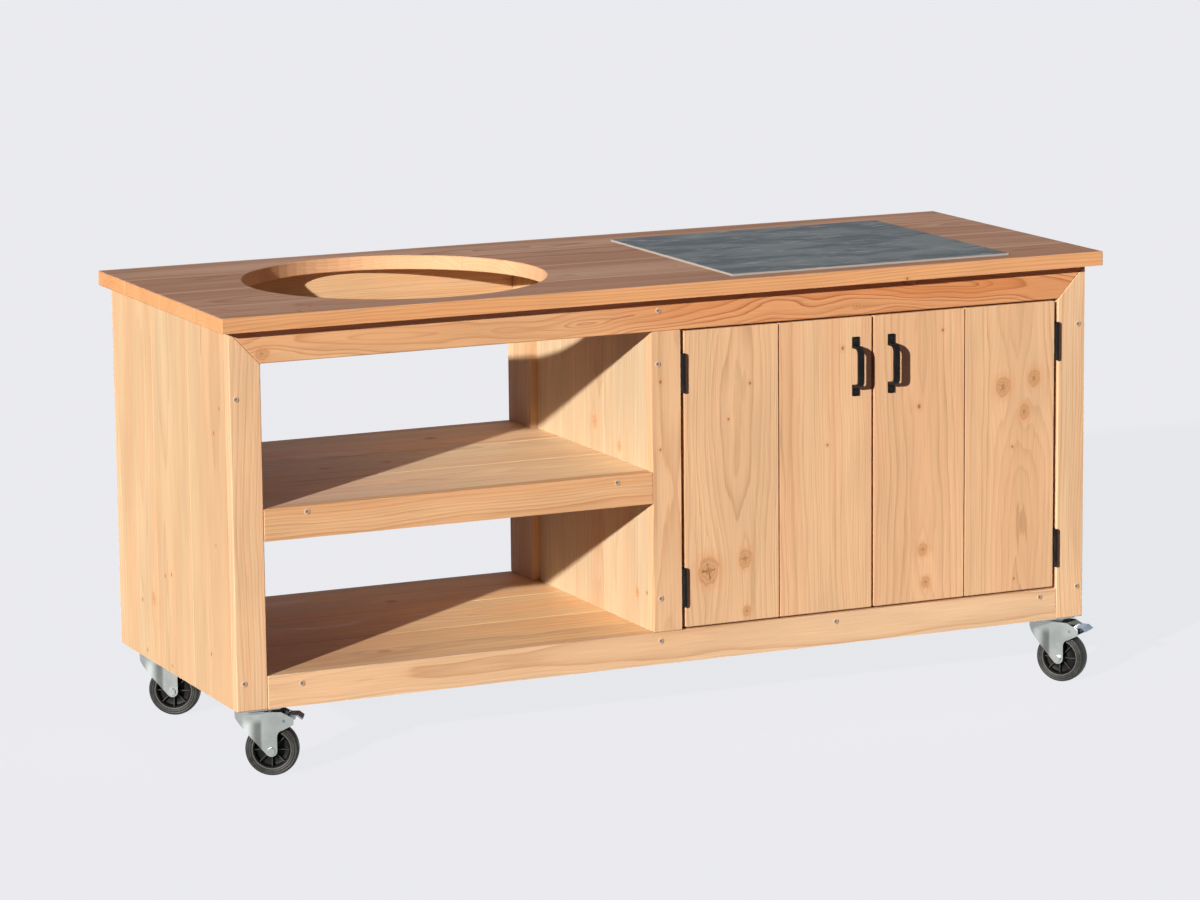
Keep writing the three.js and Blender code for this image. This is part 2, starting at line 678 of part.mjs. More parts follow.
// A brake lever in its pressed place: a bent sheet on a cross pin, with a shoe just off the tyre
function brakeLever() {
  const { x, z } = leverPivot;
  const zFlat = z + leverRise;
  const t = leverSheet;
  const xFlat = x + leverRun;
  const xBend = xFlat + leverFlat;
  const sheet = [
    [x, z], [x + t, z - t], [xFlat + t / 2, zFlat - t], [xBend - t / 2, zFlat - t],
    [xBend + leverLip - t / 2, zFlat - t - leverLipDrop], [xBend + leverLip + t / 2, zFlat - leverLipDrop],
    [xBend, zFlat], [xFlat, zFlat],
  ];
  const onTyre = (degrees) => {
    const angle = THREE.MathUtils.degToRad(degrees);
    const radius = tyreCorner + shoeClearance;
    return [casterTrail + radius * Math.cos(angle), -axleDrop + radius * Math.sin(angle)];
  };
  const shoe = [onTyre(shoeTailAngle), onTyre(shoeLeadAngle), [x + leverBarrelRadius / 2, z], [x - leverBarrelRadius / 2, z]];
  const armInner = forkHalfWidth - forkSheet - leverPinClearance;
  const armOuter = forkHalfWidth + leverPinClearance;
  return join(
    run(sheet, 'y', -leverWidth / 2, leverWidth / 2),
    run(shoe, 'y', -shoeWidth / 2, shoeWidth / 2),
    rod(leverBarrelRadius, -armInner, armInner, x, z, axleSegments),
    rod(leverPinRadius, -armOuter, armOuter, x, z, axleSegments),
  );
}

function buildCasters() {
  const places = {
    front_left: [xLeft + casterEndInset, yFront + casterSideInset],
    front_right: [xRight - casterEndInset, yFront + casterSideInset],
    back_left: [xLeft + casterEndInset, yBack - casterSideInset],
    back_right: [xRight - casterEndInset, yBack - casterSideInset],
  };
  for (const [name, [x, y]] of Object.entries(places)) {
    const plate = add(`caster_${name}_plate`, casterPlate(), 'zinc');
    plate.position.set(x, y, zBase - jointGap);
    const swivel = new THREE.Group();
    swivel.position.copy(plate.position);
    swivel.rotation.z = THREE.MathUtils.degToRad(parkedAngles[name]);
    table.add(swivel);
    add(`caster_${name}_fork`, fork(), 'zinc', swivel);
    add(`caster_${name}_wheel`, wheel(), 'rubber', swivel);
    if (name.startsWith('front')) add(`caster_${name}_brake_lever`, brakeLever(), 'zinc', swivel);
  }
}

buildTop();
buildFrontFrame();
buildBackFrame();
buildCarcass();
buildDoor('left', -1);
buildDoor('right', 1);
buildCasters();

export default table;
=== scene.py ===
# Kamado grill table: softwood boards, a slate plate, black ironwork and zinc-plated casters.
# Lengths are in metres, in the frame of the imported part: X to the right, Y to the back, Z up.

import itertools
import json
import math

import bmesh
import bpy
from mathutils import Matrix, Vector


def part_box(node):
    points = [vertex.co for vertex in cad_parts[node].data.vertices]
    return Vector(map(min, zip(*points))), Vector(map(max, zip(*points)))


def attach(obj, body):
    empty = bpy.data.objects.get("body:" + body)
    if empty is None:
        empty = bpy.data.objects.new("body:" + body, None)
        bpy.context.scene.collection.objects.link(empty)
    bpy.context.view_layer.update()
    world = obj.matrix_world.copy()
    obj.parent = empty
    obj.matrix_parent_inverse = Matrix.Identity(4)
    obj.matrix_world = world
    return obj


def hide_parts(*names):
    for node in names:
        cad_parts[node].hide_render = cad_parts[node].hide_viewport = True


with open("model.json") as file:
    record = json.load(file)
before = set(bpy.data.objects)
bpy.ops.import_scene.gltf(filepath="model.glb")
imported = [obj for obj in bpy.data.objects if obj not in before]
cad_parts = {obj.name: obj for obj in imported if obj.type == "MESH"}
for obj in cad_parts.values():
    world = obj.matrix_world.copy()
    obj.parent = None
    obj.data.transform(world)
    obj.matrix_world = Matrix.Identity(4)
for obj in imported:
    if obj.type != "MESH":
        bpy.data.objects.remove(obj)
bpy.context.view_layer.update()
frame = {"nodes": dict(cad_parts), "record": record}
nodes = frame["nodes"]

MM = 0.001
AXES = "xyz"

# Camera of the photograph
CAMERA_PLACE = Vector((-3.7090, -8.0757, 2.1306))
CAMERA_YAW = math.radians(24.968)
CAMERA_PITCH = math.radians(10.387)
CAMERA_ROLL = math.radians(-0.508)
CAMERA_LENS = 138.61
CAMERA_SHIFT = (-0.0252, -0.0027)
CAMERA_FAR = 200

# Light of the photograph: a low sun from the front left and a dim sky. A soft lamp fills the back.
SUN_AZIMUTH = math.radians(54)
SUN_HEIGHT = math.radians(16.4)
SUN_STRENGTH = 5.9
SUN_ANGLE = math.radians(1.2)
SUN_TINT = (1.0, 0.965, 0.91)
FILL_TRAVEL = Vector((-0.6, -0.8, 0.03))
FILL_STRENGTH = 0.75
FILL_ANGLE = math.radians(25)
SKY_FRONT = 0.03
SKY_BACK = 0.115
SKY_OVERHEAD = 0.04
SKY_TINT = (1.0, 0.71, 0.86, 1)
PALE = (0.823, 0.831, 0.863, 1)
FLOOR_PALE = (0.831, 0.848, 0.880, 1)
FLOOR_TINT = (0.27, 0.195, 0.23, 1)
FLOOR_HALF = 60
FLOOR_DROP = 0.2 * MM
FLOOR_GLOW = 0.75
FLOOR_LIFT = 1.255


# Node graphs

class Graph:
    """A tree of nodes, made by short calls. Inputs are sockets, numbers or colours."""

    def __init__(self, tree):
        self.tree = tree

    def node(self, kind, **settings):
        made = self.tree.nodes.new(kind)
        for key, value in settings.items():
            setattr(made, key, value)
        return made

    def feed(self, socket, value):
        if isinstance(value, bpy.types.NodeSocket):
            self.tree.links.new(value, socket)
        elif value is not None:
            socket.default_value = value

    def math(self, operation, a, b=None):
        made = self.node("ShaderNodeMath", operation=operation)
        for socket, value in zip(made.inputs, (a, b)):
            self.feed(socket, value)
        return made.outputs[0]

    def add(self, a, b):
        return self.math("ADD", a, b)

    def subtract(self, a, b):
        return self.math("SUBTRACT", a, b)

    def times(self, a, b):
        return self.math("MULTIPLY", a, b)

    def ramp(self, value, low, high, to_low=0.0, to_high=1.0, soft=True):
        kind = "SMOOTHSTEP" if soft else "LINEAR"
        made = self.node("ShaderNodeMapRange", interpolation_type=kind)
        for name, number in zip(("Value", "From Min", "From Max", "To Min", "To Max"),
                                (value, low, high, to_low, to_high)):
            self.feed(made.inputs[name], number)
        return made.outputs[0]

    def vector(self, x, y, z):
        made = self.node("ShaderNodeCombineXYZ")
        for socket, value in zip(made.inputs, (x, y, z)):
            self.feed(socket, value)
        return made.outputs[0]

    def parts(self, vector):
        made = self.node("ShaderNodeSeparateXYZ")
        self.feed(made.inputs[0], vector)
        return made.outputs

    def noise(self, vector, scale=1.0, detail=2.0, roughness=0.5):
        made = self.node("ShaderNodeTexNoise", noise_dimensions="3D")
        self.feed(made.inputs["Vector"], vector)
        made.inputs["Scale"].default_value = scale
        made.inputs["Detail"].default_value = detail
        made.inputs["Roughness"].default_value = roughness
        return made.outputs

    def chance(self, value):
        """A random number from 0 to 1 for each value."""
        made = self.node("ShaderNodeTexWhiteNoise", noise_dimensions="1D")
        self.feed(made.inputs["W"], value)
        return made.outputs["Value"]

    def mix(self, share, a, b, blend="MIX"):
        made = self.node("ShaderNodeMix", data_type="RGBA", blend_type=blend)
        self.feed(made.inputs[0], share)
        self.feed(made.inputs[6], a)
        self.feed(made.inputs[7], b)
        return made.outputs[2]

    def bump(self, height, distance, strength):
        made = self.node("ShaderNodeBump")
        made.inputs["Strength"].default_value = strength
        made.inputs["Distance"].default_value = distance
        self.feed(made.inputs["Height"], height)
        return made.outputs[0]

    def tint(self, color, shade):
        """A colour times a brightness."""
        return self.mix(1.0, color, self.vector(shade, shade, shade), "MULTIPLY")

    def surface(self, color, roughness, normal=None, metallic=0.0, **values):
        shader = self.node("ShaderNodeBsdfPrincipled")
        self.feed(shader.inputs["Base Color"], color)
        self.feed(shader.inputs["Roughness"], roughness)
        self.feed(shader.inputs["Normal"], normal)
        shader.inputs["Metallic"].default_value = metallic
        for name, value in values.items():
            shader.inputs[name.replace("_", " ")].default_value = value
        output = self.node("ShaderNodeOutputMaterial")
        self.tree.links.new(shader.outputs[0], output.inputs[0])

    def place(self):
        return self.node("ShaderNodeTexCoord").outputs["Object"]

    def upward(self, low, high):
        """How far a face looks up, from 0 where its normal's Z is low to 1 where it is high."""
        return self.ramp(self.parts(self.node("ShaderNodeTexCoord").outputs["Normal"])[2], low, high)

    def seen(self):
        """1 for rays from the camera and for those that it sees mirrored or through something."""
        path = self.node("ShaderNodeLightPath").outputs
        indirect = self.math("MAXIMUM", path["Is Glossy Ray"], path["Is Transmission Ray"])
        return self.math("MAXIMUM", path["Is Camera Ray"], indirect)

    def blend(self, share, first, second, kind):
        """Mixes two shaders into the output of a material or a world."""
        mixed = self.node("ShaderNodeMixShader")
        self.feed(mixed.inputs[0], share)
        self.tree.links.new(first.outputs[0], mixed.inputs[1])
        self.tree.links.new(second.outputs[0], mixed.inputs[2])
        self.tree.links.new(mixed.outputs[0], self.node(kind).inputs[0])


def material(name):
    made = bpy.data.materials.new(name)
    made.use_nodes = True
    made.node_tree.nodes.clear()
    return made, Graph(made.node_tree)


def group(name, inputs, outputs):
    """A node group with float or colour sockets, and the graph to fill it."""
    made = bpy.data.node_groups.new(name, "ShaderNodeTree")
    for label, kind in inputs:
        made.interface.new_socket(label, in_out="INPUT", socket_type=kind)
    for label, kind in outputs:
        made.interface.new_socket(label, in_out="OUTPUT", socket_type=kind)
    g = Graph(made)
    return made, g, g.node("NodeGroupInput").outputs, g.node("NodeGroupOutput").inputs


def use(g, tree, **values):
    made = g.node("ShaderNodeGroup", node_tree=tree)
    for name, value in values.items():
        g.feed(made.inputs[name.replace("_", " ")], value)
    return made.outputs


# Timber

FLOAT, COLOR = "NodeSocketFloat", "NodeSocketColor"

# Radii between which a knot's cracks go from faint to clear
CRACKED_KNOT = (9 * MM, 19 * MM)


def timber_group():
    """Year rings round a wandering heart, in metres from the middle of one board."""
    tree, g, given, out = group("timber", [
        ("Along", FLOAT), ("Across", FLOAT), ("Depth", FLOAT), ("Seed", FLOAT),
        ("Heart Across", FLOAT), ("Heart Depth", FLOAT), ("Wander", FLOAT), ("Waver", FLOAT),
        ("Ring", FLOAT), ("Bulge", FLOAT), ("Contrast", FLOAT),
        ("Early", COLOR), ("Late", COLOR), ("Blush", COLOR),
    ], [("Color", COLOR), ("Late Wood", FLOAT), ("Fibre", FLOAT)])
    along, across, depth, seed = (given[name] for name in ("Along", "Across", "Depth", "Seed"))
    offset = g.times(seed, 7.31)

    def stretched(lengthwise, crosswise, detail):
        """Noise drawn out along the grain."""
        where = g.vector(g.times(along, lengthwise), g.times(across, crosswise),
                         g.add(g.times(depth, crosswise), offset))
        return g.noise(where, 1.0, detail)["Fac"]

    slow = g.vector(g.add(g.times(along, 1.1), offset), g.times(across, 2.0),
                    g.add(g.times(depth, 2.0), offset))
    drift = g.parts(g.noise(slow, 1.3, 1.0)["Color"])
    swing = [g.times(g.subtract(channel, 0.5), given["Wander"]) for channel in drift[:2]]
    side = g.add(g.subtract(across, given["Heart Across"]), swing[0])
    deep = g.add(g.subtract(depth, given["Heart Depth"]), swing[1])
    radius = g.add(g.math("SQRT", g.add(g.times(side, side), g.times(deep, deep))), given["Bulge"])
    radius = g.add(radius, g.times(g.subtract(stretched(6.0, 14.0, 1.0), 0.5), given["Waver"]))

    count = g.math("DIVIDE", radius, given["Ring"])
    count = g.add(count, g.times(g.subtract(stretched(5.0, 45.0, 2.0), 0.5), 1.1))
    pace = g.noise(g.vector(g.times(count, 0.23), offset, 0.0), 1.0, 1.0)
    count = g.add(count, g.times(pace["Fac"], 5.0))
    share = g.math("FRACT", count)
    late = g.times(g.math("POWER", share, 3.2), g.ramp(share, 0.9, 1.0, 1.0, 0.0))
    weight = g.add(0.55, g.times(g.chance(g.add(g.math("FLOOR", count), offset)), 0.85))
    late = g.times(late, weight)

    fibre = stretched(9.0, 620.0, 3.0)
    band = g.noise(g.vector(g.times(along, 0.6), g.times(count, 0.17), g.add(offset, 3.7)), 1.0, 2.0)
    patch = g.noise(g.vector(g.times(along, 3.0), g.times(across, 16.0), offset), 1.0, 2.0)

    color = g.mix(g.ramp(band["Fac"], 0.38, 0.66), given["Early"], given["Blush"])
    color = g.mix(g.times(late, given["Contrast"]), color, given["Late"])
    shade = g.add(g.ramp(fibre, 0.25, 0.75, 0.91, 1.08), g.ramp(patch["Fac"], 0.3, 0.7, -0.055, 0.055))
    g.feed(out["Color"], g.tint(color, shade))
    g.feed(out["Late Wood"], late)
    g.feed(out["Fibre"], fibre)
    return tree


def knot_group():
    """Adds one knot. The grain parts round it and bulges over it, and its own disc has radial cracks.

    Near tells how far a point is from the middle of the closest knot, in radii.
    """
    carried = [("Across", FLOAT), ("Near", FLOAT), ("Bulge", FLOAT), ("Crack", FLOAT)]
    tree, g, given, out = group("knot", [
        ("Along", FLOAT), ("Knot Along", FLOAT), ("Knot Across", FLOAT), ("Radius", FLOAT),
        ("Push", FLOAT), ("Swell", FLOAT), *carried,
    ], carried)
    side = g.subtract(given["Across"], given["Knot Across"])
    up = g.subtract(given["Along"], given["Knot Along"])
    u = g.math("DIVIDE", side, given["Radius"])
    v = g.math("DIVIDE", up, g.times(given["Radius"], 1.2))
    ragged = g.noise(g.vector(g.times(u, 1.5), g.times(v, 1.5), given["Knot Along"]), 1.0, 3.0)
    away = g.math("SQRT", g.add(g.times(u, u), g.times(v, v)))
    bearing = g.vector(g.math("DIVIDE", u, away), g.math("DIVIDE", v, away), given["Knot Along"])
    rays = g.noise(bearing, 2.6, 1.0)
    away = g.add(away, g.times(g.subtract(ragged["Fac"], 0.5), 0.8))
    stretched = g.math("DIVIDE", v, 1.9)
    spread = g.add(g.times(u, u), g.times(stretched, stretched))
    pull = g.times(g.math("EXPONENT", g.times(spread, -0.22)), given["Push"])
    g.feed(out["Across"], g.subtract(given["Across"], g.times(side, pull)))
    g.feed(out["Near"], g.math("MINIMUM", given["Near"], away))
    lens = g.math("DIVIDE", v, 6.5)
    pointed = g.add(g.times(g.math("ABSOLUTE", u), 0.42), g.times(lens, lens))
    over = g.math("EXPONENT", g.times(pointed, -1.0))
    g.feed(out["Bulge"], g.add(given["Bulge"], g.times(over, given["Swell"])))
    crack = g.times(g.ramp(rays["Fac"], 0.56, 0.63), g.ramp(away, 0.65, 1.0, 1.0, 0.0))
    crack = g.times(crack, g.ramp(given["Radius"], *CRACKED_KNOT, 0.15, 0.85))
    g.feed(out["Crack"], g.math("MAXIMUM", given["Crack"], crack))
    return tree


TIMBER = timber_group()
KNOT = knot_group()

# Colours of the timber, each as early wood, late wood and the blush that runs along it
TONES = {
    "top": ((0.411, 0.220, 0.135, 1), (0.215, 0.094, 0.055, 1), (0.546, 0.338, 0.231, 1)),
    "edge": ((0.669, 0.352, 0.163, 1), (0.51, 0.211, 0.075, 1), (0.651, 0.317, 0.136, 1)),
    "bore": ((0.685, 0.41, 0.235, 1), (0.56, 0.29, 0.14, 1), (0.67, 0.38, 0.21, 1)),
    "rail": ((0.665, 0.325, 0.145, 1), (0.351, 0.096, 0.024, 1), (0.580, 0.229, 0.081, 1)),
    "sawn": ((0.68, 0.41, 0.215, 1), (0.47, 0.20, 0.08, 1), (0.655, 0.36, 0.175, 1)),
    "frame": ((0.729, 0.498, 0.300, 1), (0.517, 0.266, 0.127, 1), (0.719, 0.451, 0.254, 1)),
    "apron": ((0.625, 0.416, 0.235, 1), (0.443, 0.222, 0.099, 1), (0.615, 0.377, 0.199, 1)),
    "panel": ((0.594, 0.427, 0.250, 1), (0.477, 0.285, 0.134, 1), (0.607, 0.387, 0.217, 1)),
    "divider": ((0.545, 0.417, 0.267, 1), (0.440, 0.278, 0.143, 1), (0.556, 0.377, 0.232, 1)),
    # shade and deep are painted shade: the shelf and floor boards turn to them towards the left of the bay,
    # where the stile and end panel cast shadow.
    "shade": ((0.690, 0.490, 0.345, 1), (0.470, 0.265, 0.165, 1), (0.710, 0.455, 0.305, 1)),
    "deep": ((0.670, 0.400, 0.215, 1), (0.450, 0.200, 0.095, 1), (0.680, 0.355, 0.172, 1)),
    "door": ((0.725, 0.468, 0.267, 1), (0.472, 0.251, 0.119, 1), (0.707, 0.422, 0.234, 1)),
    "shelf": ((0.824, 0.621, 0.385, 1), (0.556, 0.332, 0.182, 1), (0.845, 0.578, 0.342, 1)),
    "floor": ((0.855, 0.578, 0.315, 1), (0.577, 0.294, 0.137, 1), (0.860, 0.514, 0.252, 1)),
}
KNOT_HEART = (0.57, 0.32, 0.135, 1)
KNOT_RIM = (0.27, 0.105, 0.04, 1)
KNOT_HALO = (0.64, 0.29, 0.125, 1)
CRACK = (0.07, 0.03, 0.015, 1)
PIN_RADIUS = 5.2 * MM
HOLE_X = -0.44
HOLE_RADIUS = 0.290
HOLE_WALL = (HOLE_RADIUS + 2 * MM, HOLE_RADIUS + 3 * MM)
WORN_ARRIS = (0.60, 0.40, 0.28, 1)
SEAM_REACH = (3 * MM, 8 * MM)
FULL_KNOT = 12 * MM
CRACK_FADE = 10 * MM
CRACK_HALF = (0.2 * MM, 0.9 * MM)
CRACK_WOBBLE = 2 * MM
GRAIN_RELIEF = 0.25 * MM


def blend_tones(g, share, first, second):
    """Early wood, late wood and blush between two tones."""
    return [g.mix(share, a, b) for a, b in zip(first, second)]


def pin_dot(g, color, across, along, pin):
    """A small dead knot: a dark dot with a faint halo, which the grain hardly notices."""
    side = g.subtract(across, pin[0])
    up = g.math("DIVIDE", g.subtract(along, pin[1]), 1.3)
    away = g.math("SQRT", g.add(g.times(side, side), g.times(up, up)))
    color = g.mix(g.ramp(away, pin[2], 2.6 * pin[2], 0.3, 0.0), color, KNOT_HALO)
    return g.mix(g.ramp(away, 0.4 * pin[2], 0.95 * pin[2], 0.8, 0.0), color, KNOT_RIM)


def wood(node, tone, along, face, seed, boards=1, heart=(0.1, -2.0), ring=7 * MM, wander=0.05,
         waver=6 * MM, contrast=0.62, knots=(), cracks=(), worn=None, turning=None, faint=1.0, bored=False,
         edge_pins=()):
    """Dresses a CAD node as timber.

    along is the axis of the grain and face the axis through the thickness. heart is the pith of
    each board, across and through it from its middle, in shares of half a board's width. knots are
    (across, along, radius) and cracks (across, from, to), in metres in the frame, on any of the
    node's boards. worn is the tone of the upward face, where it differs from the rest, and
    turning is (tone, from, to), where the tone changes along the board. faint weakens the knots.
    bored gives the wall of the round hole in a worn board its own tone. edge_pins are knots on
    the board's edge, as (through, along, radius).
    """
    pins = [knot for knot in knots if worn or knot[2] < PIN_RADIUS]
    knots = [knot for knot in knots if knot not in pins]
    low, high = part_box(node)
    across = (set(AXES) - {along, face}).pop()
    i, j, k = (AXES.index(axis) for axis in (along, across, face))
    width = (high[j] - low[j]) / boards
    made, g = material(f"wood_{node}")
    place = g.parts(g.place())
    state = {"Across": place[j], "Near": 9.0, "Bulge": 0.0, "Crack": 0.0}
    for knot_across, knot_along, radius in knots:
        power = min(1.0, radius / FULL_KNOT)
        state = dict(use(g, KNOT, Along=place[i], Knot_Along=knot_along, Knot_Across=knot_across,
                         Radius=radius, Push=0.72 * power, Swell=1.6 * ring * power, **state).items())
    turn = g.math("FLOOR", g.math("DIVIDE", g.subtract(place[j], low[j]), width))
    own = g.add(g.times(turn, 13.0), float(seed))
    middle = g.add(low[j], g.times(g.add(turn, 0.5), width))
    shift = g.times(g.subtract(g.chance(own), 0.5), 0.9 * width if boards > 1 else 0.0)
    tones = TONES[tone]
    if worn:
        upward = g.upward(0.55, 0.85)
        tones = blend_tones(g, upward, tones, TONES[worn])
    if bored:
        reach = g.node("ShaderNodeVectorMath", operation="LENGTH")
        g.feed(reach.inputs[0], g.vector(g.subtract(place[0], HOLE_X), place[1], 0.0))
        inside = g.ramp(reach.outputs["Value"], *HOLE_WALL, 1.0, 0.0)
        tones = blend_tones(g, g.times(inside, g.subtract(1.0, upward)), tones, TONES["bore"])
    if turning:
        tones = blend_tones(g, g.ramp(place[i], *turning[1:]), tones, TONES[turning[0]])
    early, late, blush = tones
    grain = use(
        g, TIMBER, Along=place[i], Across=g.subtract(state["Across"], middle),
        Depth=g.subtract(place[k], (low[k] + high[k]) / 2), Seed=own,
        Heart_Across=g.add(shift, heart[0] * width / 2), Heart_Depth=heart[1] * width / 2,
        Wander=wander, Waver=waver, Ring=ring, Bulge=state["Bulge"], Contrast=contrast,
        Early=early, Late=late, Blush=blush,
    )
    color = g.tint(grain["Color"], g.add(0.96, g.times(g.chance(g.add(own, 5.0)), 0.08)))
    if worn:
        rim = g.subtract(width / 2, g.math("ABSOLUTE", g.subtract(place[j], middle)))
        seam = g.times(g.ramp(rim, *SEAM_REACH, 0.6, 0.0), upward)
        color = g.mix(seam, color, WORN_ARRIS)
    if knots:
        near = state["Near"]
        rings = g.math("FRACT", g.times(near, 2.7))
        heartwood = g.mix(g.times(g.math("POWER", rings, 2.0), 0.55), KNOT_HEART, KNOT_RIM)
        heartwood = g.mix(g.ramp(near, 0.12, 0.4, 0.75, 0.0), heartwood, KNOT_RIM)
        heartwood = g.mix(state["Crack"], heartwood, CRACK)
        color = g.mix(g.ramp(near, 1.0, 2.4, 0.42 * faint, 0.0), color, KNOT_HALO)
        color = g.mix(g.ramp(near, 0.6, 1.15, 0.75 * faint, 0.0), color, heartwood)
        edge = g.math("ABSOLUTE", g.subtract(near, 1.05))
        color = g.mix(g.ramp(edge, 0.03, 0.25, 0.3 * faint, 0.0), color, KNOT_RIM)
    for pin in pins:
        color = pin_dot(g, color, place[j], place[i], pin)
    for pin in edge_pins:
        color = pin_dot(g, color, place[k], place[i], pin)
    for crack_across, start, end in cracks:
        waves = g.noise(g.vector(g.times(place[i], 30.0), 0.0, 0.0), 1.0, 2.0)["Fac"]
        path = g.add(place[j], g.times(waves, CRACK_WOBBLE))
        off = g.math("ABSOLUTE", g.subtract(path, crack_across + CRACK_WOBBLE / 2))
        opened = g.ramp(place[i], start, start + CRACK_FADE)
        length = g.times(opened, g.ramp(place[i], end - CRACK_FADE, end, 1.0, 0.0))
        color = g.mix(g.times(g.ramp(off, *CRACK_HALF, 0.9, 0.0), length), color, CRACK)
    height = g.add(g.times(grain["Late Wood"], 0.6), g.times(grain["Fibre"], 0.5))
    roughness = g.ramp(grain["Late Wood"], 0.0, 1.0, 0.68, 0.66 if worn else 0.54)
    relief = g.bump(height, GRAIN_RELIEF, 0.2 if worn else 0.5)
    g.surface(color, roughness, relief, Specular_IOR_Level=0.12 if worn else 0.28)
    give(made, node)


def dress_top():
    """Flat-sawn boards, gone brown where the sun reaches and still pale on their edges."""
    top = dict(tone="edge", worn="top", along="x", face="z", ring=5 * MM, contrast=0.75, bored=True)
    wood("top_board_front", seed=3, edge_pins=[(0.845, 0.480, 3.5 * MM)], heart=(0.3, -1.6), knots=[
        (-0.331, -0.756, 7 * MM), (-0.318, -0.757, 6 * MM), (-0.274, -0.718, 6 * MM),
    ], **top)
    second = dict(top, seed=5, heart=(-0.4, -0.9), knots=[(-0.126, 0.0905, 5 * MM)])
    wood("top_board_second_left", **second)
    wood("top_board_second_right", **second)
    third = dict(top, seed=9, heart=(0.5, -1.4))
    wood("top_board_third_left", **third)
    wood("top_board_third_right", **third)
    wood("top_board_back", seed=12, heart=(-0.2, -0.8), **top)


def dress_frames():
    upright = dict(tone="frame", along="z", face="y", contrast=0.7)
    level = dict(tone="frame", along="x", face="y", contrast=0.7)
    wood("front_stile_left", seed=21, heart=(-3.0, -1.5), ring=6 * MM, **upright)
    wood("front_stile_right", seed=22, heart=(2.5, -2.0), ring=6 * MM, **upright)
    wood("front_mid_stile", seed=23, heart=(0.6, -2.4), ring=8 * MM,
         knots=[(-0.0315, 0.680, 4 * MM), (-0.0325, 0.550, 3 * MM)], **upright)
    wood("front_top_rail", seed=24, heart=(0.2, -1.0), ring=8 * MM, wander=0.13, waver=45 * MM,
         turning=("rail", -0.3, 0.1), knots=[(0.7946, -0.828, 9 * MM), (0.7945, 0.386, 6 * MM)],
         **dict(level, tone="sawn", contrast=1.0))
    wood("front_bottom_rail", seed=25, heart=(0.3, -2.2), ring=6 * MM, **level)
    wood("shelf_front_strip", seed=26, heart=(-1.8, -2.0), ring=6 * MM, **dict(level, tone="sawn"))
    wood("shelf_back_strip", seed=27, heart=(1.8, -2.0), ring=6 * MM, **level)
    wood("back_stile_left", seed=28, heart=(2.0, 2.0), **upright)
    wood("back_stile_right", seed=29, heart=(-2.0, 2.0), **upright)
    wood("back_mid_stile", seed=30, heart=(0.5, 2.5), **upright)
    wood("back_bottom_rail", seed=31, heart=(0.4, 2.4), **level)
    wood("back_apron", seed=32, heart=(3.4, 0.4), ring=5 * MM, wander=0.03, waver=4 * MM,
         **dict(level, tone="apron"))


def dress_panels():
    panel = dict(tone="panel", contrast=0.62, ring=7.5 * MM, boards=3)
    wood("end_panel_left", along="z", face="x", seed=41, heart=(0.0, 0.8),
         knots=[
             (0.135, 0.262, 9 * MM), (0.201, 0.247, 4 * MM), (0.065, 0.319, 4 * MM), (0.030, 0.328, 4 * MM),
             (0.180, 0.152, 4 * MM), (0.037, 0.150, 3 * MM), (-0.182, 0.218, 4 * MM), (-0.222, 0.430, 3 * MM),
             (-0.225, 0.640, 5 * MM), (-0.256, 0.690, 4 * MM),
         ], cracks=[(-0.167, 0.772, 0.836)], faint=0.7, **panel)
    wood("end_panel_right", along="z", face="x", seed=42, heart=(0.0, -0.8), **panel)
    wood("divider_panel", along="z", face="x", seed=43, heart=(0.0, 0.9), knots=[
        (-0.049, 0.565, 9 * MM), (-0.162, 0.534, 7 * MM), (-0.239, 0.262, 6 * MM), (-0.282, 0.269, 4 * MM),
    ], faint=0.85, **dict(panel, tone="divider"))
    wood("cabinet_back_panel", along="x", face="y", seed=46, heart=(0.0, 0.9), **panel)
    shelf = dict(tone="shelf", along="x", face="z", boards=3, ring=8 * MM, contrast=0.6)
    # The floor and shelf boards darken towards their left ends: painted shade of the left stile and end
    # panel.
    wood("floor_boards", seed=44, heart=(0.0, -0.9), turning=("deep", -0.3, -0.7),
         knots=[(0.1785, -0.387, 7 * MM), (-0.223, -0.564, 9 * MM)], **dict(shelf, tone="floor"))
    wood("shelf_boards", seed=45, heart=(0.0, -0.9), knots=[
        (0.218, -0.282, 8 * MM), (0.021, -0.456, 7 * MM), (0.012, -0.585, 7 * MM),
    ], turning=("shade", -0.3, -0.7), **shelf)
    hidden = [("divider_batten", "z", "x"), ("bearer_left", "y", "z"), ("bearer_right", "y", "z"),
              ("door_stop", "x", "y"), ("door_left_brace", "x", "y"), ("door_right_brace", "x", "y")]
    for seed, (name, along, face) in enumerate(hidden, 47):
        wood(name, "panel", along, face, seed)


def dress_doors():
    """Straight grain and two pin knots on the second board, larger knots on the others."""
    door = dict(tone="door", along="z", face="y", contrast=0.6)
    wood("door_left_board_hung", seed=61, heart=(0.15, -0.9), ring=8 * MM, knots=[
        (0.068, 0.306, 19 * MM), (0.144, 0.323, 13 * MM), (0.148, 0.220, 7 * MM),
        (0.157, 0.663, 3.5 * MM), (0.111, 0.597, 3 * MM),
    ], **door)
    wood("door_left_board_meeting", seed=62, heart=(-1.6, -1.8), ring=6 * MM,
         knots=[(0.356, 0.715, 4 * MM), (0.323, 0.529, 3 * MM)], **door)
    wood("door_right_board_meeting", seed=63, heart=(0.0, -0.8), ring=8 * MM, knots=[
        (0.532, 0.304, 9 * MM), (0.538, 0.2385, 8 * MM), (0.523, 0.588, 5 * MM), (0.575, 0.734, 3.5 * MM),
    ], **door)
    wood("door_right_board_hung", seed=64, heart=(0.2, -1.1), ring=7 * MM, knots=[
        (0.710, 0.612, 14 * MM), (0.779, 0.624, 12 * MM), (0.758, 0.559, 11 * MM),
        (0.736, 0.226, 3 * MM), (0.731, 0.491, 3 * MM),
    ], **door)


# Other finishes

